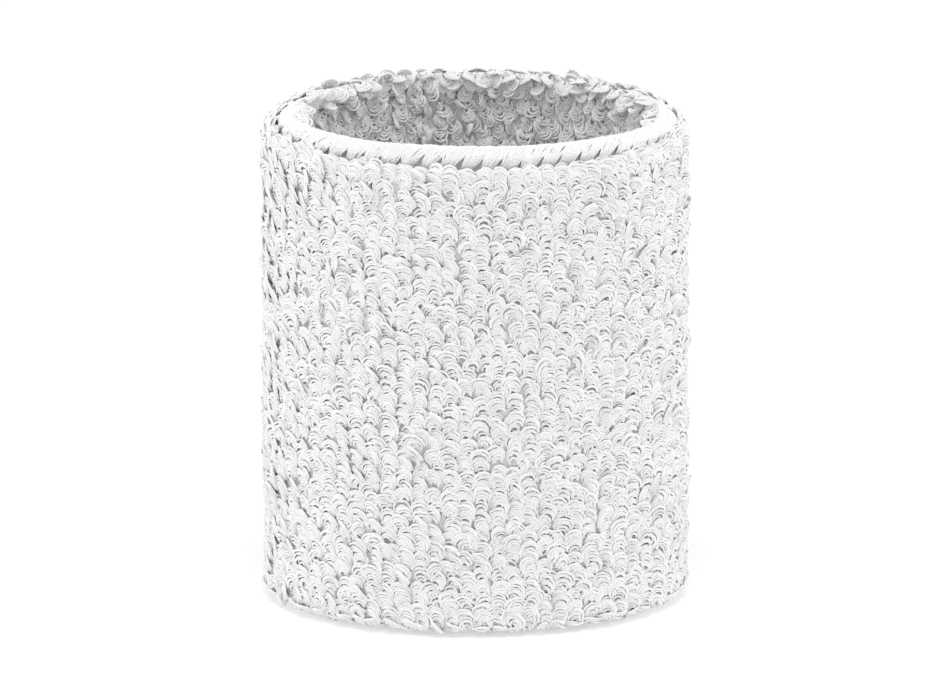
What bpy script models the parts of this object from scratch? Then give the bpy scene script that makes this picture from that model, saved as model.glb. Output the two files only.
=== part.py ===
"""Sweat wristband: one knitted terry tube turned in on itself and overlocked along its top edge.

Blender 4.5, metres, +Z up. The band stands on its folded edge, and its origin is the middle of
its oval footprint. Its long way across lies along X, and it is flattened along Y.
"""

import math

import bmesh
import bpy

MM = 0.001

# Driving dimensions of the band.
BAND_WIDTH = 69.0 * MM
BAND_DEPTH = 48.0 * MM
BAND_HEIGHT = 80.0 * MM
WALL = 7.6 * MM
SEGMENTS = 48

# Layers of the wall, from either face towards its middle.
PILE = 2.1 * MM
GAP = 0.3 * MM
KNIT = 0.6 * MM
YARN_RADIUS = 0.15 * MM
THREAD_RADIUS = 0.2 * MM
YARN_DEPTH = PILE + 2 * GAP + KNIT + YARN_RADIUS
THREAD_DEPTH = 1.9 * MM

# The folded edge at the bottom, and the seam along the top.
FOLD_RADIUS = 2.6 * MM
FOLD_STEPS = 3
KNIT_CORNER = 0.7 * MM
PILE_CORNER = 0.9 * MM
PILE_TOP = BAND_HEIGHT - 1.1 * MM
KNIT_TOP = BAND_HEIGHT - 1.4 * MM
SEAM_TOP = BAND_HEIGHT - THREAD_RADIUS
CREST_DEPTH = 3.4 * MM
LOOP_FOOT = BAND_HEIGHT - 3.3 * MM
NEEDLE_LINE = BAND_HEIGHT - 4.0 * MM
GROOVE_FOOT = BAND_HEIGHT - 4.9 * MM
STITCHES = 52

# The elastic yarn winds down the outer wall, crosses the fold and winds up the inner wall.
YARN_TURNS = 6
YARN_LOW = 3.8 * MM
YARN_HIGH = BAND_HEIGHT - 6.0 * MM

COTTON_PILE = ("terry_cotton", (0.87, 0.87, 0.88, 1.0), 0.95)
COTTON_KNIT = ("ground_cotton", (0.80, 0.80, 0.81, 1.0), 0.9)
ELASTIC = ("covered_elastic", (0.74, 0.73, 0.70, 1.0), 0.6)
SEAM_THREAD = ("seam_thread", (0.90, 0.90, 0.91, 1.0), 0.7)


def clear_scene():
    """Remove every object that the scene starts with."""
    for obj in list(bpy.data.objects):
        bpy.data.objects.remove(obj, do_unlink=True)


def material(name, colour, roughness):
    """A Principled material for one kind of yarn."""
    mat = bpy.data.materials.new(name)
    mat.use_nodes = True
    shader = mat.node_tree.nodes["Principled BSDF"]
    shader.inputs["Base Color"].default_value = colour
    shader.inputs["Roughness"].default_value = roughness
    shader.inputs["Metallic"].default_value = 0.0
    return mat


def oval_point(turn, depth, z):
    """The point at a share of a turn round the band, at a depth in from its outer face."""
    angle = 2 * math.pi * turn
    half_width = BAND_WIDTH / 2
    half_depth = BAND_DEPTH / 2
    normal_x = half_depth * math.cos(angle)
    normal_y = half_width * math.sin(angle)
    length = math.hypot(normal_x, normal_y)
    x = half_width * math.cos(angle) - depth * normal_x / length
    y = half_depth * math.sin(angle) - depth * normal_y / length
    return (x, y, z)


def even_turns(count, depth):
    """The shares of a turn that split the oval at a depth into equal lengths."""
    fine = 40 * count
    points = [oval_point(step / fine, depth, 0.0) for step in range(fine + 1)]
    travelled = [0.0]
    for first, second in zip(points, points[1:]):
        travelled.append(travelled[-1] + math.dist(first, second))
    turns = []
    place = 0
    for index in range(count):
        wanted = travelled[-1] * index / count
        while travelled[place + 1] <= wanted:
            place += 1
        part = (wanted - travelled[place]) / (travelled[place + 1] - travelled[place])
        turns.append((place + part) / fine)
    return turns


def mirrored(half):
    """A section's outer half, followed by the same points on the inner half of the wall."""
    return half + [(WALL - depth, z) for depth, z in reversed(half)]


def ring_object(name, section, mat):
    """A closed section of (depth, z) points, carried round the oval."""
    bm = bmesh.new()
    rings = []
    for step in range(SEGMENTS):
        turn = step / SEGMENTS
        rings.append([bm.verts.new(oval_point(turn, depth, z)) for depth, z in section])
    count = len(section)
    for step, ring in enumerate(rings):
        following = rings[(step + 1) % SEGMENTS]
        for index in range(count):
            after = (index + 1) % count
            bm.faces.new((ring[index], following[index], following[after], ring[after]))
    bmesh.ops.recalc_face_normals(bm, faces=bm.faces)
    mesh = bpy.data.meshes.new(name)
    bm.to_mesh(mesh)
    bm.free()
    mesh.shade_smooth()
    mesh.set_sharp_from_angle(angle=math.radians(40))
    mesh.materials.append(mat)
    obj = bpy.data.objects.new(name, mesh)
    bpy.context.scene.collection.objects.link(obj)
    return obj


def strand_object(name, points, radius, closed, mat):
    """A thread or yarn along a run of points."""
    curve = bpy.data.curves.new(name, "CURVE")
    curve.dimensions = "3D"
    curve.bevel_depth = radius
    curve.bevel_resolution = 0
    curve.use_fill_caps = True
    curve.twist_mode = "Z_UP"
    spline = curve.splines.new("POLY")
    spline.points.add(len(points) - 1)
    for spline_point, place in zip(spline.points, points):
        spline_point.co = (*place, 1.0)
    spline.use_cyclic_u = closed
    curve.materials.append(mat)
    obj = bpy.data.objects.new(name, curve)
    bpy.context.scene.collection.objects.link(obj)
    return obj


def terry_pile(mat):
    """The loop pile on both faces: one layer that runs down outside, under the fold and up inside."""
    lip = 1.4 * MM
    half = [(PILE, PILE + PILE_CORNER), (PILE, GROOVE_FOOT), (lip, GROOVE_FOOT + 0.5 * MM)]
    half += [(lip, PILE_TOP - 0.3 * MM), (0.9 * MM, PILE_TOP)]
    half += [(0.3 * MM, PILE_TOP - 0.6 * MM), (0.0, PILE_TOP - 2.0 * MM)]
    for step in range(FOLD_STEPS + 1):
        angle = 0.5 * math.pi * step / FOLD_STEPS
        half.append((FOLD_RADIUS * (1 - math.cos(angle)), FOLD_RADIUS * (1 - math.sin(angle))))
    channel = [(WALL - PILE - PILE_CORNER, PILE), (PILE + PILE_CORNER, PILE)]
    ring_object("terry_pile", mirrored(half) + channel, mat)


def ground_knit(mat):
    """The knitted ground that holds the loops: a U in section, open at the top."""
    outer = PILE + GAP
    inner = outer + KNIT
    floor = outer
    half = [(inner, KNIT_TOP), (outer, KNIT_TOP), (outer, floor + KNIT_CORNER)]
    half.append((outer + KNIT_CORNER, floor))
    corner = 0.5 * KNIT_CORNER
    inside = [(inner + corner, floor + KNIT), (inner, floor + KNIT + corner)]
    back = [(WALL - depth, z) for depth, z in reversed(inside)]
    ring_object("ground_knit", mirrored(half) + back + inside, mat)


def elastic_yarn(mat):
    """One covered elastic yarn, laid between the two walls of the ground knit."""
    steps = YARN_TURNS * SEGMENTS
    points = []
    for step in range(steps + 1):
        z = YARN_HIGH + (YARN_LOW - YARN_HIGH) * step / steps
        points.append(oval_point(step / SEGMENTS, YARN_DEPTH, z))
    crossing = SEGMENTS // 4
    for step in range(1, crossing):
        depth = YARN_DEPTH + (WALL - 2 * YARN_DEPTH) * step / crossing
        points.append(oval_point(step / SEGMENTS, depth, YARN_LOW))
    for step in range(steps + 1):
        z = YARN_LOW + (YARN_HIGH - YARN_LOW) * step / steps
        points.append(oval_point((crossing + step) / SEGMENTS, WALL - YARN_DEPTH, z))
    strand_object("elastic_yarn", points, YARN_RADIUS, False, mat)


def looper_thread(name, inside, mat):
    """A looper thread of the overlock: slanted loops up one face of the seam and over its top."""
    shoulder = SEAM_TOP - 0.8 * MM
    path = [(0.0, THREAD_DEPTH, LOOP_FOOT), (0.15, THREAD_DEPTH, LOOP_FOOT)]
    path += [(0.45, THREAD_DEPTH, shoulder), (0.55, CREST_DEPTH, SEAM_TOP)]
    path += [(0.75, CREST_DEPTH, SEAM_TOP), (0.88, THREAD_DEPTH, shoulder)]
    turns = even_turns(STITCHES, WALL - THREAD_DEPTH if inside else THREAD_DEPTH) + [1.0]
    points = []
    for start, end in zip(turns, turns[1:]):
        for share, depth, z in path:
            turn = start + (end - start) * share
            points.append(oval_point(turn, WALL - depth if inside else depth, z))
    strand_object(name, points, THREAD_RADIUS, True, mat)


def needle_thread(mat):
    """The needle thread: a row of straight stitches at the foot of the seam."""
    points = []
    for index, turn in enumerate(even_turns(2 * STITCHES, THREAD_DEPTH)):
        lift = 0.1 * MM if index % 2 else 0.0
        points.append(oval_point(turn, THREAD_DEPTH, NEEDLE_LINE - lift))
    strand_object("needle_thread", points, THREAD_RADIUS, True, mat)


def build():
    clear_scene()
    terry_pile(material(*COTTON_PILE))
    ground_knit(material(*COTTON_KNIT))
    elastic_yarn(material(*ELASTIC))
    thread = material(*SEAM_THREAD)
    looper_thread("upper_looper_thread", False, thread)
    looper_thread("lower_looper_thread", True, thread)
    needle_thread(thread)


build()
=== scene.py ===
"""Looks of the white terry wristband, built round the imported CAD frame."""
import math

import bpy
import numpy as np
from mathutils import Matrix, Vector


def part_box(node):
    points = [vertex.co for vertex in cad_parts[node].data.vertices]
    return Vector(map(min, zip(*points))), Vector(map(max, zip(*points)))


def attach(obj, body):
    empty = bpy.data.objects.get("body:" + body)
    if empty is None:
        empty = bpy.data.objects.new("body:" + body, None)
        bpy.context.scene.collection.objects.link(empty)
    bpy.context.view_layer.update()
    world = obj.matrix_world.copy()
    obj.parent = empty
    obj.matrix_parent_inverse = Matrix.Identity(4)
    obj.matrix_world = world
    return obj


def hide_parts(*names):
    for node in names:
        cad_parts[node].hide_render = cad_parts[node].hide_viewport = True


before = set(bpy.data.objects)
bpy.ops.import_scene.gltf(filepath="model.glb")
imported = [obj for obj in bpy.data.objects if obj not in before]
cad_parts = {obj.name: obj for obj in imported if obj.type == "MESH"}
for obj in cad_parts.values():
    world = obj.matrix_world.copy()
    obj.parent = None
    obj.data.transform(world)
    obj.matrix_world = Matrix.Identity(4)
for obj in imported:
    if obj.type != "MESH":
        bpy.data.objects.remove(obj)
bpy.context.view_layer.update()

MM = 0.001
rng = np.random.default_rng(20)

# The oval and its wall, as the CAD solids have them.
pile_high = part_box("terry_pile")[1]
HALF_WIDTH = pile_high.x
HALF_DEPTH = pile_high.y
RIM_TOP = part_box("upper_looper_thread")[1].z
pile_points = np.array([v.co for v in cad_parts["terry_pile"].data.vertices])
on_long_axis = np.abs(pile_points[:, 1]) < 0.1 * MM
WALL = HALF_WIDTH - np.abs(pile_points[on_long_axis, 0]).min()
KNIT_DEPTH = HALF_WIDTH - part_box("ground_knit")[1].x

# How finely the way round the oval is measured.
OVAL_STEPS = 4000

# The knitted tube's way: in over the shoulder, down the outside, round the fold, up the inside.
BASE_DEPTH = KNIT_DEPTH - 0.5 * MM
FOLD_RADIUS = WALL / 2 - BASE_DEPTH
FOLD_GAP = 1.1 * MM
FOLD_HEIGHT = FOLD_GAP + FOLD_RADIUS
FOLD_SQUARENESS = 0.5
TOP_RADIUS = 2.4 * MM
TOP_LENGTH = math.radians(68) * TOP_RADIUS
TOP_BEND = 0.7
TOP_BEND_BACK = 0.3
SHOULDER = RIM_TOP - 4.6 * MM
INNER_TOP = RIM_TOP + 0.7 * MM
STRAIGHT = SHOULDER - FOLD_HEIGHT
FOLD_LENGTH = math.pi * FOLD_RADIUS
FOLD_END = STRAIGHT + FOLD_LENGTH
TUBE_END = FOLD_END + INNER_TOP - FOLD_HEIGHT

# The rim isn't level: it sinks towards the back, where the shoulder stands up behind the lip.
LIP_TILT = 0.6 * MM
RIM_LIFT = 0.1 * MM
RIM_TILT = 1.35 * MM
INNER_SAG = 1.2 * MM
INNER_RISE = 0.9 * MM
TILT_REACH = 12 * MM

# The knit: columns of loops (wales) round the band, and rows of them (courses) along the tube.
WALES = 68
COURSE = 1.4 * MM
INNER_COURSE = 1.1 * MM
FOLD_COURSE = 0.8 * MM
TOP_COURSE = 0.5 * MM
RIB = 0.12 * MM
GROUND_DETAIL = 3
LIP_STEPS = 9

# A drift is a sum of waves, each with up to so many crests round the band and along a stretch of it.
DRIFT_WAVES = 5
DRIFT_CRESTS_ROUND = 8
DRIFT_CRESTS_ALONG = 2
DRIFT_STRETCH = 25 * MM

# One loop of pile yarn: a flat bundle of plies that fan out at the loop's head.
PLIES = 6
PLY_RADIUS = 0.2 * MM
PLY_STEP = 0.37 * MM
LOWEST_PLY = 0.8 * MM
NARROWEST_PLY = 0.74 * MM
PLY_WIDENING = 0.16 * MM
PLY_FORWARD = 0.06 * MM
BUNDLE_THICK = 0.14 * MM
LOOP_LIFT = 0.4 * MM
HEAD_ANGLE = math.radians(105)
HEAD_POINTS = 7
LOOP_POINTS = HEAD_POINTS + 2
NECK = 0.7
TIGHTEST = 0.78
LOWEST_POINT = 1.2 * PLY_RADIUS
SECTORS = 12

# The loops' usual size: on the outer wall, where the tube curves, and on the inner wall. The curve
# takes in the whole shoulder, and the fold from a share of its length on.
OUTER_SIZE = 0.98
CURVED_SIZE = 0.8
INNER_SIZE = 0.78
CURVE_START = 0.3

# How loops lie, in degrees: their lean from upright, their yaw to one side and the turn of their
# face. Early in the fold its own angle is added to the lean, then LEAN_UNDER, and then LEAN_RISING.
LEAN = 75
EARLY_FOLD = 60
LATE_FOLD = 120
WHOLE_FOLD = 180
LEAN_UNDER = 20
LEAN_RISING = -6
LEAN_BACK_RIM = 6
LEAN_AT_LIP = -80
LEAN_AT_BACK_LIP = -15
LIP_REACH = 3 * MM
YAW = 9
FACE = 10

# How uneven they are. A drift changes slowly over the band, a scatter from loop to loop or from ply
# to ply, and a waver along each ply.
LEAN_DRIFT = 3
YAW_DRIFT = 6
FACE_DRIFT = 10
LEAN_SCATTER = 4
RIM_SCATTER = 12
INNER_SCATTER = 12
YAW_SCATTER = 14
FACE_SCATTER = 14
STRAY_SCATTER = 25
STRAY_SHARE = 0.03
ROW_DRIFT = 0.3 * MM
ROW_SCATTER = 0.38 * MM
FOLD_UNEVENNESS = 0.3
WALE_DRIFT = 0.1
WALE_SCATTER = 0.11
SIZE_SCATTER = 0.09
HEIGHT_SCATTER = 0.13 * MM
WIDTH_SCATTER = 0.08 * MM
LAYER_SCATTER = 0.06 * MM
BEND_SCATTER = 0.1
SHIFT_SCATTER = 0.07 * MM
WAVER = 0.03 * MM
THICK_SCATTER = 0.1
THICK_WAVER = 0.05

# The overlocked lip along the top.
STITCHES = 52
LIP_DEPTH = 4.7 * MM
LIP_SWAY = 0.4 * MM
LIP_SWAY_TURN = 0.375
LIP_HALF = 1.5 * MM
LIP_CREST = RIM_TOP + 0.1 * MM
LIP_ROUNDNESS = 0.8
OUTER_DROP = 2.9 * MM
INNER_DROP = 1.6 * MM
GROUND_INSET = 0.8 * MM

# A looper thread: filaments that are bunched at a stitch's foot and fan out over the lip. A thread
# reaches from its own foot over the crest.
LOOPER_REACH = 0.62
FILAMENTS = 20
FILAMENT_STEPS = 16
FILAMENT_RADIUS = 0.15 * MM
FILAMENT_SCATTER = 0.02
FOOT_SHARE = 0.26
FOOT_FAN = 0.55
FAN_GROWTH = 0.53
FAN_SCATTER = 0.06
STITCH_SLANT = 1.9
FILAMENT_WAVE = 0.04
FILAMENT_CRESTS = 1.5
PLUMPNESS = 0.2 * MM
PLUMP_SCATTER = 0.06 * MM
DEPTH_SCATTER = 0.05 * MM
CREST_FLATNESS = 0.5
FOOT_SINK = 0.5 * MM
END_TAPER = 0.5
OUTWARD_TILT = 0.3
SEAM_UNEVENNESS = 0.15 * MM

# The needle thread, and the elastic yarn between the two walls, which crosses from the outer wall
# to the inner one in a share of a turn.
NEEDLE_RADIUS = 0.2 * MM
NEEDLE_STEPS = 6
NEEDLE_SINK = 0.25 * MM
NEEDLE_WEAVE = 0.18 * MM
ELASTIC_TURNS = 33
ELASTIC_STEPS = 48
ELASTIC_RADIUS = 0.14 * MM
ELASTIC_SINK = 0.15 * MM
CROSSING = 0.25
CROSSING_GAP = 0.02
CROSSING_STEPS = 12


# ---------------------------------------------------------------- the oval and the wall's section

def oval_normals(turn):
    """Unit vectors straight out of the oval at shares of a turn."""
    angle = 2 * np.pi * turn
    normal = np.stack([HALF_DEPTH * np.cos(angle), HALF_WIDTH * np.sin(angle), 0 * angle], -1)
    return normal / np.linalg.norm(normal, axis=-1, keepdims=True)


def oval_points(turn, depth, z):
    """Points at a depth in from the band's outer face."""
    angle = 2 * np.pi * turn
    outer = np.stack([HALF_WIDTH * np.cos(angle), HALF_DEPTH * np.sin(angle), 0 * angle], -1)
    point = outer - oval_normals(turn) * np.asarray(depth)[..., None]
    point[..., 2] = z
    return point


def even_turn(share):
    """The share of a turn at a share of the way round, measured along the middle of the wall."""
    turn = np.linspace(0, 1, OVAL_STEPS + 1)
    line = oval_points(turn, np.full(turn.shape, WALL / 2), np.zeros(turn.shape))
    along = np.concatenate([[0], np.cumsum(np.linalg.norm(np.diff(line, axis=0), axis=1))])
    whole = np.floor(share)
    return whole + np.interp(share - whole, along / along[-1], turn)


def perimeter(depth):
    """The way round the oval at a depth in from its outer face."""
    turn = np.linspace(0, 1, OVAL_STEPS // 2 + 1)
    line = oval_points(turn, np.full(turn.shape, depth), np.zeros(turn.shape))
    return np.linalg.norm(np.diff(line, axis=0), axis=1).sum()


def backwardness(turn):
    """How far back a share of a turn lies: 1 at the back of the band, and -1 at its front."""
    return np.sin(2 * np.pi * turn)


def lip_rise(turn):
    """How much higher the lip lies at a share of a turn: it sinks towards the back."""
    return -LIP_TILT * (1 + backwardness(turn))


def over_shoulder(way):
    """How far a place is over the shoulder: 0 on the wall, and 1 at the lip."""
    return np.clip(-way / TOP_LENGTH, 0, 1)


def section(way, turn):
    """Depth, height and normal at a way along the tube, which is below zero over the shoulder. The
    shoulder is steeper at the front."""
    backward = backwardness(turn)
    fold = np.clip((way - STRAIGHT) / FOLD_RADIUS, 0, np.pi)
    top = np.minimum(way, 0) / TOP_RADIUS * (TOP_BEND + TOP_BEND_BACK * backward)
    normal_depth = -np.cos(fold + top)
    normal_z = -np.sin(fold + top)
    across = np.sign(np.cos(fold)) * np.abs(np.cos(fold)) ** FOLD_SQUARENESS
    depth = WALL / 2 - FOLD_RADIUS * across + TOP_RADIUS * (1 - np.cos(top))
    rise = np.clip(STRAIGHT - way, 0, STRAIGHT) + np.maximum(way - FOLD_END, 0)
    down = np.abs(np.sin(fold)) ** FOLD_SQUARENESS
    near_lip = np.clip(1 + (way - TUBE_END) / TILT_REACH, 0, 1)
    sink = lip_rise(turn) - INNER_SAG * (1 - backward) + INNER_RISE * (1 + backward) / 2
    swell = over_shoulder(way) * (RIM_LIFT + RIM_TILT * np.tanh(2 * backward))
    z = FOLD_HEIGHT - FOLD_RADIUS * down + rise - TOP_RADIUS * np.sin(top) + near_lip * sink + swell
    return depth, z, normal_depth, normal_z


def spaced(start, end, pitch):
    """Places from start to end about a pitch apart, half a pitch in from either end."""
    count = round((end - start) / pitch)
    return start + (end - start) * (np.arange(count) + 0.5) / count


def drift(share, way, seed):
    """A smooth unevenness from -1 to 1 that runs unbroken round the band."""
    random = np.random.default_rng(seed)
    total = np.zeros(np.broadcast(share, way).shape)
    for _ in range(DRIFT_WAVES):
        round_it = random.integers(1, DRIFT_CRESTS_ROUND + 1)
        crests = random.uniform(-DRIFT_CRESTS_ALONG, DRIFT_CRESTS_ALONG)
        along_it = crests * 2 * np.pi / DRIFT_STRETCH
        start = random.uniform(0, 2 * np.pi)
        total += np.sin(2 * np.pi * round_it * share + along_it * way + start)
    return total / DRIFT_WAVES


# ---------------------------------------------------------------- strands

def unit(vectors):
    """The same directions, each of length one."""
    return vectors / np.maximum(np.linalg.norm(vectors, axis=-1, keepdims=True), 1e-12)


def strand_mesh(name, points, radius, across):
    """Four-sided tubes with closed ends along rows of points. Across is roughly square to each row."""
    sides = 4
    count, length, _ = points.shape
    along = unit(np.gradient(points, axis=1))
    first = unit(across - (across * along).sum(-1, keepdims=True) * along)
    second = np.cross(along, first)
    angle = 2 * np.pi * (np.arange(sides) + 0.5) / sides
    spread = np.cos(angle)[:, None] * first[:, :, None] + np.sin(angle)[:, None] * second[:, :, None]
    verts = (points[:, :, None] + radius[..., None, None] * spread).reshape(-1, 3)

    ring = np.arange(sides)
    after = (ring + 1) % sides
    step = np.arange(length - 1)[:, None] * sides
    walls = np.stack([step + ring, step + after, step + after + sides, step + ring + sides], -1)
    caps = np.stack([ring[::-1], ring + (length - 1) * sides])
    faces = np.concatenate([walls.reshape(-1, 4), caps])
    first_vertex = np.arange(count) * length * sides
    mesh = quad_mesh(name, verts, (faces[None] + first_vertex[:, None, None]).reshape(-1, 4))
    add_uv(mesh, strand_uv(count, length, sides))
    return mesh


def strand_uv(count, length, sides):
    """UV corners of strands: each has a square cell of its own, with its caps along the cell's foot."""
    columns = math.ceil(math.sqrt(count))
    cell = 1.0 / columns
    used = 0.9 * cell
    ring = np.arange(sides)
    row = np.arange(length - 1)
    round_it = np.stack([ring, ring + 1, ring + 1, ring], -1) / sides
    lengthwise = np.stack([row, row, row + 1, row + 1], -1) / (length - 1)
    wall = np.stack(np.broadcast_arrays(round_it[None], lengthwise[:, None]), -1).reshape(-1, 4, 2)
    caps = np.broadcast_to([[0, 0], [1, 0], [1, 0.1], [0, 0.1]], (2, 4, 2))
    index = np.arange(count)
    corner = np.stack([index % columns, index // columns], -1) * cell
    return (np.concatenate([wall, caps]) * used)[None] + corner[:, None, None, :]


def add_uv(mesh, uv):
    """Give a mesh the UV layer that its colours are baked on."""
    layer = mesh.uv_layers.new(name="OFBake")
    layer.data.foreach_set("uv", uv.astype(np.float32).ravel())


def quad_mesh(name, verts, faces):
    """A smooth mesh of four-cornered faces from arrays."""
    mesh = bpy.data.meshes.new(name)
    mesh.vertices.add(len(verts))
    mesh.vertices.foreach_set("co", verts.astype(np.float32).ravel())
    mesh.loops.add(faces.size)
    mesh.loops.foreach_set("vertex_index", faces.astype(np.int32).ravel())
    mesh.polygons.add(len(faces))
    mesh.polygons.foreach_set("loop_start", np.arange(0, faces.size, 4, dtype=np.int32))
    mesh.polygons.foreach_set("use_smooth", np.ones(len(faces), bool))
    mesh.update(calc_edges=True)
    return mesh


def piece(mesh, mat, slot, *nodes):
    """A piece that rides on the band in place of its CAD nodes, which it hides."""
    mesh.materials.append(mat)
    obj = bpy.data.objects.new(mesh.name, mesh)
    bpy.context.scene.collection.objects.link(obj)
    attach(obj, "root")
    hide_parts(*nodes)
    return obj


# ---------------------------------------------------------------- pile loops

def loop_places():
    """Where each loop's foot is: its share of the way round, and its way along the tube."""
    rows = np.concatenate([
        spaced(-TOP_LENGTH, 0, TOP_COURSE),
        spaced(0, STRAIGHT, COURSE),
        spaced(STRAIGHT, FOLD_END, FOLD_COURSE),
        spaced(FOLD_END, TUBE_END, INNER_COURSE),
    ])
    wales = (np.arange(WALES) + 0.5) / WALES
    share, way = [grid.ravel() for grid in np.meshgrid(wales, rows)]
    uneven = np.where((way > STRAIGHT) & (way < FOLD_END), FOLD_UNEVENNESS, 1)
    way = way + uneven * (ROW_DRIFT * drift(share, way, 5) + rng.normal(0, ROW_SCATTER, way.size))
    aside = WALE_DRIFT * drift(share, way, 1) + rng.normal(0, WALE_SCATTER, share.size)
    return share + aside / WALES, way


def loop_leans(share, way, back_share):
    """How far each loop leans from upright, in degrees."""
    count = share.size
    fold = np.degrees(np.clip((way - STRAIGHT) / FOLD_RADIUS, 0, np.pi))
    lean = LEAN + LEAN_DRIFT * drift(share, way, 2) + rng.normal(0, LEAN_SCATTER, count)
    stages = [fold < EARLY_FOLD, fold < LATE_FOLD, fold < WHOLE_FOLD]
    lean = lean + np.select(stages, [fold, LEAN_UNDER, LEAN_RISING], 0)
    rim_lean = LEAN_BACK_RIM * back_share + rng.normal(0, RIM_SCATTER, count)
    near_lip = np.clip(1 + (way - TUBE_END) / LIP_REACH, 0, 1)
    lip_lean = LEAN_AT_LIP + LEAN_AT_BACK_LIP * back_share
    inner_lean = rng.normal(0, INNER_SCATTER, count) * (way > FOLD_END)
    return lean + rim_lean * over_shoulder(way) + lip_lean * near_lip + inner_lean


def loop_frames(share, way):
    """For each loop: its foot on the ground, the ground's normal, and the directions of its reach,
    its width and square to both."""
    count = share.size
    turn = even_turn(share)
    depth, z, normal_depth, normal_z = section(way, turn)
    out = oval_normals(turn)
    round_it = np.stack([-out[:, 1], out[:, 0], np.zeros(count)], -1)
    normal = -normal_depth[:, None] * out
    normal[:, 2] = normal_z
    back = np.cross(normal, round_it)
    base = oval_points(turn, depth, z)

    looser = 1 + (way > FOLD_END)
    lean = loop_leans(share, way, (1 + backwardness(turn)) / 2)
    yaw = YAW + YAW_DRIFT * drift(share, way, 3) + rng.normal(0, YAW_SCATTER, count) * looser
    face = FACE + FACE_DRIFT * drift(share, way, 4) + rng.normal(0, FACE_SCATTER, count) * looser
    stray = rng.random(count) < STRAY_SHARE
    yaw = yaw + stray * rng.normal(0, STRAY_SCATTER, count)
    lean, yaw, face = [np.radians(angle)[:, None] for angle in (lean, yaw, face)]
    reach = np.cos(lean) * normal + np.sin(lean) * (np.cos(yaw) * back - np.sin(yaw) * round_it)
    width = np.cos(face) * (np.cos(yaw) * round_it + np.sin(yaw) * back) + np.sin(face) * normal
    width = unit(width - (width * reach).sum(-1, keepdims=True) * reach)
    return base, normal, reach, width, np.cross(reach, width)


def ply_lines(share, way):
    """Every ply of every loop in its loop's own directions: how far it goes across, along and out of
    the loop."""
    count = share.size
    fold = (way - STRAIGHT) / FOLD_LENGTH
    curved = (way < 0) | ((fold > CURVE_START) & (fold < 1))
    usual = np.select([curved, way > FOLD_END], [CURVED_SIZE, INNER_SIZE], OUTER_SIZE)
    size = ((1 + rng.normal(0, SIZE_SCATTER, count)) * usual)[:, None]
    ply = np.arange(PLIES)
    unlike = rng.normal(0, 1, (2, count, PLIES))
    height = size * (LOWEST_PLY + PLY_STEP * ply) + HEIGHT_SCATTER * unlike[0]
    radius = size * (NARROWEST_PLY + PLY_WIDENING * ply) + WIDTH_SCATTER * unlike[1]
    side = np.where(ply % 2, 1.0, -1.0)
    layer = BUNDLE_THICK * side + rng.normal(0, LAYER_SCATTER, (count, PLIES))

    bend = np.linspace(-HEAD_ANGLE, HEAD_ANGLE, HEAD_POINTS)
    bend = bend + rng.normal(0, BEND_SCATTER, (count, PLIES, 1))
    across = np.zeros((count, PLIES, LOOP_POINTS))
    along = np.zeros((count, PLIES, LOOP_POINTS))
    across[..., 1:-1] = radius[..., None] * np.sin(bend)
    along[..., 1:-1] = (height - radius)[..., None] + radius[..., None] * np.cos(bend)
    across[..., 0] = NECK * across[..., 1]
    across[..., -1] = NECK * across[..., -2]
    tight = 1 - 2 * np.pi * section(way, share)[0] / perimeter(0)
    across *= np.maximum(tight, TIGHTEST)[:, None, None]
    across += rng.normal(0, SHIFT_SCATTER, (count, PLIES, 1)) + rng.normal(0, WAVER, across.shape)
    along += rng.normal(0, WAVER, across.shape)
    bunched = np.abs(np.linspace(-1, 1, LOOP_POINTS))
    lift = layer[..., None] * bunched + PLY_FORWARD * ply[:, None]
    lift = lift + rng.normal(0, WAVER, across.shape)
    return across, along, lift


def pile_loops():
    """The plies of every loop: their points, radii and a direction across them, with each loop's
    share of the way round and its place along the tube."""
    share, way = loop_places()
    base, normal, reach, width, square = loop_frames(share, way)
    across, along, lift = ply_lines(share, way)
    start = base + LOOP_LIFT * normal
    points = (start[:, None, None] + along[..., None] * reach[:, None, None]
              + across[..., None] * width[:, None, None] + lift[..., None] * square[:, None, None])
    for foot in (0, -1):
        points[:, :, foot] -= LOOP_LIFT * normal[:, None]
    points[..., 2] = np.maximum(points[..., 2], LOWEST_POINT)
    thick = 1 + rng.normal(0, THICK_SCATTER, (share.size, PLIES, 1))
    thick = PLY_RADIUS * (thick + rng.normal(0, THICK_WAVER, across.shape))
    side = np.broadcast_to(square[:, None, None], points.shape)
    return points, thick, side, share % 1, way


def terry_pieces(mat):
    """The loops of both faces, in sectors round the band."""
    points, thick, across, share, way = pile_loops()
    outside = way < (STRAIGHT + FOLD_END) / 2
    sector = np.floor(share * SECTORS).astype(int)
    made = []
    for face, chosen in (("outer", outside), ("inner", ~outside)):
        for number in range(SECTORS):
            pick = chosen & (sector == number)
            rows = [a[pick].reshape(-1, LOOP_POINTS, *a.shape[3:]) for a in (points, thick, across)]
            mesh = strand_mesh(f"terry_loops_{face}_{number + 1}", *rows)
            made.append(piece(mesh, mat, "pile_yarn", "terry_pile"))
    return made


# ---------------------------------------------------------------- the knitted ground

def lip_line(v, inset):
    """Depth and height across the lip, from its outer foot (0) over the crest to the inner (1)."""
    angle = np.pi * v
    depth = LIP_DEPTH - (LIP_HALF - inset) * np.cos(angle)
    drop = np.where(v < 0.5, OUTER_DROP, INNER_DROP)
    return depth, LIP_CREST - inset - drop * (1 - np.sin(angle) ** LIP_ROUNDNESS)


def lip_sway(turn):
    """How much deeper the lip lies at a share of a turn: in at the back left, out at the front right."""
    return LIP_SWAY * np.cos(2 * np.pi * (turn - LIP_SWAY_TURN))


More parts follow.
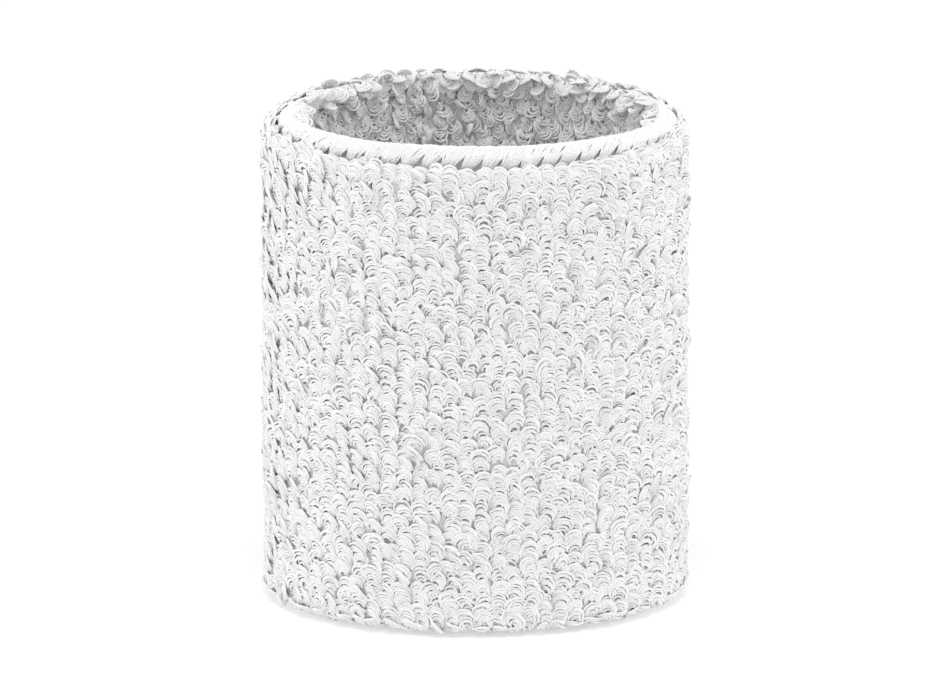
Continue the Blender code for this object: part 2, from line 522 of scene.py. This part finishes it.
def ground_section(turn):
    """Depths and heights of the knitted ground: from the lip's crest down its outer side, along the
    tube, and up the lip's inner side to the crest again."""
    way = np.arange(-TOP_LENGTH, TUBE_END, COURSE / GROUND_DETAIL)[:, None]
    wall_depth, wall_z, normal_depth, _ = section(way, turn)
    share = np.arange(turn.size) / turn.size
    rib = RIB * np.cos(2 * np.pi * WALES * share) * np.cos(2 * np.pi * way / COURSE)
    half_lip = np.linspace(0, 0.5, LIP_STEPS)
    outer_depth, outer_z = lip_line(half_lip[::-1, None], GROUND_INSET)
    inner_depth, inner_z = lip_line(1 - half_lip[:, None], GROUND_INSET)
    sway = lip_sway(turn)
    lift = lip_rise(turn)
    depth = [outer_depth + sway, wall_depth + rib * np.sign(normal_depth), inner_depth + sway]
    z = [outer_z + lift, wall_z, inner_z + lift]
    return np.concatenate(depth), np.concatenate(z)


def ground_piece(mat):
    """The knitted tube that holds the loops, as one sheet, with the sheet's flat size."""
    count = WALES * GROUND_DETAIL
    turn = even_turn(np.arange(count) / count)
    depth, z = ground_section(turn)
    rows = len(depth)
    verts = oval_points(np.broadcast_to(turn, depth.shape), depth, z).reshape(-1, 3)
    row = np.arange(rows - 1)[:, None]
    column = np.arange(count)
    after = (column + 1) % count
    start = row * count
    faces = np.stack([start + column, start + after, start + after + count, start + column + count], -1)
    mesh = quad_mesh("ground_knit_sheet", verts, faces.reshape(-1, 4))
    corner_u = np.stack([column, column + 1, column + 1, column], -1) / count
    corner_v = np.stack([row, row, row + 1, row + 1], -1) / rows
    add_uv(mesh, np.stack(np.broadcast_arrays(corner_u[None], corner_v), -1))
    obj = piece(mesh, mat, "ground_yarn", "ground_knit")
    length = np.hypot(np.diff(depth, axis=0), np.diff(z, axis=0)).sum(0).mean()
    return obj, (float(perimeter(WALL / 2)), float(length))


# ---------------------------------------------------------------- the seam

def looper_strands(start, end, seed):
    """Filaments of one looper thread: bunched at its feet, and fanned out over the crest."""
    random = np.random.default_rng(seed)
    v = np.linspace(start, end, FILAMENT_STEPS)
    stitch = np.arange(STITCHES)[:, None, None]
    place = (np.arange(FILAMENTS)[None, :, None] + 0.5) / FILAMENTS - 0.5
    place = place + random.normal(0, FILAMENT_SCATTER, (STITCHES, FILAMENTS, 1))
    from_foot = np.clip(np.minimum(v, 1 - v) / FOOT_SHARE, 0, 1)
    fan = FOOT_FAN + FAN_GROWTH * from_foot + random.normal(0, FAN_SCATTER, (STITCHES, 1, 1))
    slant = STITCH_SLANT * (v - 0.5)
    phase = random.uniform(0, 2 * np.pi, (STITCHES, FILAMENTS, 1))
    wave = FILAMENT_WAVE * np.sin(2 * np.pi * FILAMENT_CRESTS * v + phase)
    turn = even_turn((stitch + 0.5 + place * fan + slant + wave) / STITCHES)
    plump = random.normal(PLUMPNESS, PLUMP_SCATTER, (STITCHES, 1, 1))
    inset = -plump * (1 - 4 * place**2) * (1 - CREST_FLATNESS * from_foot)
    inset = inset + random.normal(0, DEPTH_SCATTER, inset.shape)
    inset = inset + FOOT_SINK * (1 - from_foot) ** 3
    depth, z = lip_line(np.broadcast_to(v, turn.shape), inset)
    uneven = SEAM_UNEVENNESS * drift(turn, 0.0, seed)
    strands = oval_points(turn, depth + lip_sway(turn) + uneven, z + lip_rise(turn) + uneven)
    return strands.reshape(-1, FILAMENT_STEPS, 3)


def looper_piece(name, start, end, node, seed, mat):
    """One looper thread, from one share of the way across the lip to another, as one piece."""
    points = looper_strands(start, end, seed)
    radius = np.full(points.shape[:2], FILAMENT_RADIUS)
    radius[:, [0, -1]] *= END_TAPER
    outward = unit(points * [1, 1, 0])
    across = np.broadcast_to([0.0, 0.0, 1.0], points.shape) + OUTWARD_TILT * outward
    return piece(strand_mesh(name, points, radius, across), mat, "seam_thread", node)


def long_strand(name, line, radius):
    """One long strand along a line of points."""
    points = line[None]
    upward = np.broadcast_to([0.0, 0.0, 1.0], points.shape)
    return strand_mesh(name, points, np.full(points.shape[:2], radius), upward)


def needle_piece(mat):
    """The needle thread: a row of stitches that dips in and out of the knit at the seam's foot."""
    steps = STITCHES * NEEDLE_STEPS
    share = np.arange(steps + 1) / steps
    low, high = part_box("needle_thread")
    depth = BASE_DEPTH - NEEDLE_SINK + NEEDLE_WEAVE * np.cos(2 * np.pi * STITCHES * share)
    line = oval_points(even_turn(share), depth, (low.z + high.z) / 2)
    mesh = long_strand("seam_needle_stitches", line, NEEDLE_RADIUS)
    return piece(mesh, mat, "seam_thread", "needle_thread")


def seam_pieces(mat):
    """The two looper threads over the lip, and the needle thread's row of stitches."""
    return [
        looper_piece("seam_upper_looper", 0.0, LOOPER_REACH, "upper_looper_thread", 31, mat),
        looper_piece("seam_lower_looper", 1 - LOOPER_REACH, 1.0, "lower_looper_thread", 32, mat),
        needle_piece(mat),
    ]


def elastic_piece(mat):
    """The covered elastic yarn, wound down inside the outer wall and up inside the inner one."""
    t = np.linspace(0, 1, ELASTIC_TURNS * ELASTIC_STEPS + 1)
    low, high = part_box("elastic_yarn")
    fall = (high.z - low.z) * t
    outer_depth = HALF_WIDTH - high.x + ELASTIC_SINK
    inner_depth = WALL - outer_depth
    down = oval_points(t * ELASTIC_TURNS, np.full(t.shape, outer_depth), high.z - fall)
    cross_turn = np.linspace(CROSSING_GAP, CROSSING - CROSSING_GAP, CROSSING_STEPS)
    cross = oval_points(cross_turn, np.linspace(outer_depth, inner_depth, CROSSING_STEPS), low.z)
    up = oval_points(CROSSING + t * ELASTIC_TURNS, np.full(t.shape, inner_depth), low.z + fall)
    mesh = long_strand("covered_elastic", np.concatenate([down, cross, up]), ELASTIC_RADIUS)
    return piece(mesh, mat, "elastic_yarn", "elastic_yarn")


# ---------------------------------------------------------------- materials

def yarn_material(name, light, dark, roughness, sheen, fibre_size):
    """One kind of yarn: soft unevenness of colour over the fabric, and fine fibres in bump."""
    mat = bpy.data.materials.new(name)
    mat.use_nodes = True
    nodes = mat.node_tree.nodes
    links = mat.node_tree.links
    shader = nodes["Principled BSDF"]
    shader.inputs["Roughness"].default_value = roughness
    shader.inputs["Sheen Weight"].default_value = sheen
    shader.inputs["Sheen Roughness"].default_value = 0.5
    shader.inputs["Diffuse Roughness"].default_value = 1.0
    place = nodes.new("ShaderNodeTexCoord")
    cloud = nodes.new("ShaderNodeTexNoise")
    cloud.inputs["Scale"].default_value = 260.0
    cloud.inputs["Detail"].default_value = 4.0
    ramp = nodes.new("ShaderNodeValToRGB")
    ramp.color_ramp.elements[0].position = 0.3
    ramp.color_ramp.elements[0].color = dark
    ramp.color_ramp.elements[1].position = 0.7
    ramp.color_ramp.elements[1].color = light
    fibre = nodes.new("ShaderNodeTexNoise")
    fibre.inputs["Scale"].default_value = 1.0 / fibre_size
    fibre.inputs["Detail"].default_value = 2.0
    bump = nodes.new("ShaderNodeBump")
    bump.inputs["Strength"].default_value = 0.35
    bump.inputs["Distance"].default_value = 0.04 * MM
    links.new(place.outputs["Object"], cloud.inputs["Vector"])
    links.new(place.outputs["Object"], fibre.inputs["Vector"])
    links.new(cloud.outputs["Fac"], ramp.inputs["Fac"])
    links.new(ramp.outputs["Color"], shader.inputs["Base Color"])
    links.new(fibre.outputs["Fac"], bump.inputs["Height"])
    links.new(bump.outputs["Normal"], shader.inputs["Normal"])
    return mat


cotton = yarn_material(
    "terry_cotton",
    light=(0.965, 0.965, 0.968, 1),
    dark=(0.935, 0.935, 0.94, 1),
    roughness=0.95,
    sheen=0.6,
    fibre_size=0.12 * MM,
)
ground = yarn_material(
    "ground_cotton",
    light=(0.97, 0.97, 0.975, 1),
    dark=(0.93, 0.93, 0.935, 1),
    roughness=0.95,
    sheen=0.1,
    fibre_size=0.15 * MM,
)
thread = yarn_material(
    "seam_thread",
    light=(0.985, 0.985, 0.988, 1),
    dark=(0.97, 0.97, 0.975, 1),
    roughness=0.85,
    sheen=0.4,
    fibre_size=0.08 * MM,
)
elastic = yarn_material(
    "elastic_cover",
    light=(0.84, 0.83, 0.80, 1),
    dark=(0.72, 0.71, 0.68, 1),
    roughness=0.6,
    sheen=0.0,
    fibre_size=0.1 * MM,
)


# ---------------------------------------------------------------- floor, light and camera

def white_floor():
    """A plain white floor under the band."""
    bpy.ops.mesh.primitive_plane_add(size=30.0, location=(0, 0, -0.2 * MM))
    floor = bpy.context.object
    floor.name = "floor"
    mat = bpy.data.materials.new("floor_white")
    mat.use_nodes = True
    shader = mat.node_tree.nodes["Principled BSDF"]
    shader.inputs["Base Color"].default_value = (0.7, 0.7, 0.7, 1.0)
    shader.inputs["Roughness"].default_value = 0.9
    shader.inputs["Emission Color"].default_value = (1.0, 1.0, 1.0, 1.0)
    shader.inputs["Emission Strength"].default_value = 0.34
    floor.data.materials.append(mat)
    return floor


def area_light(name, energy, away, target):
    """A soft square light that stands away from its target and shines on it."""
    light = bpy.data.objects.new(name, bpy.data.lights.new(name, "AREA"))
    light.data.size = 0.5
    light.data.energy = energy
    light.location = target + away
    light.rotation_euler = (-away).to_track_quat("-Z", "Y").to_euler()
    bpy.context.scene.collection.objects.link(light)


def front_camera(target):
    """A camera in front of the band, far off and a little above the rim."""
    lift = math.radians(19.3)
    distance = 2.5
    camera = bpy.data.objects.new("camera", bpy.data.cameras.new("camera"))
    camera.location = target + distance * Vector((0, -math.cos(lift), math.sin(lift)))
    camera.rotation_euler = (target - camera.location).to_track_quat("-Z", "Y").to_euler()
    camera.data.lens = 600.0
    camera.data.clip_end = 100.0
    bpy.context.scene.collection.objects.link(camera)
    bpy.context.scene.camera = camera


def studio():
    """The floor, a bright white surround, three soft lights and the camera."""
    scene = bpy.context.scene
    scene.view_settings.view_transform = "Standard"
    scene.world = bpy.data.worlds.new("studio")
    scene.world.use_nodes = True
    background = scene.world.node_tree.nodes["Background"]
    background.inputs["Color"].default_value = (1.0, 1.0, 1.0, 1.0)
    background.inputs["Strength"].default_value = 0.63
    floor = white_floor()
    target = Vector((0, 0, RIM_TOP / 2))
    area_light("top", 4.3, Vector((0.0, -0.33, 1.08)), target)
    area_light("right_rim", 2.6, Vector((0.9, -0.1, 0.3)), target)
    area_light("left_rim", 2.8, Vector((-0.9, -0.1, 0.3)), target)
    front_camera(target)


studio()
pieces = terry_pieces(cotton)
sheet, flat = ground_piece(ground)
pieces += seam_pieces(thread)
pieces.append(elastic_piece(elastic))
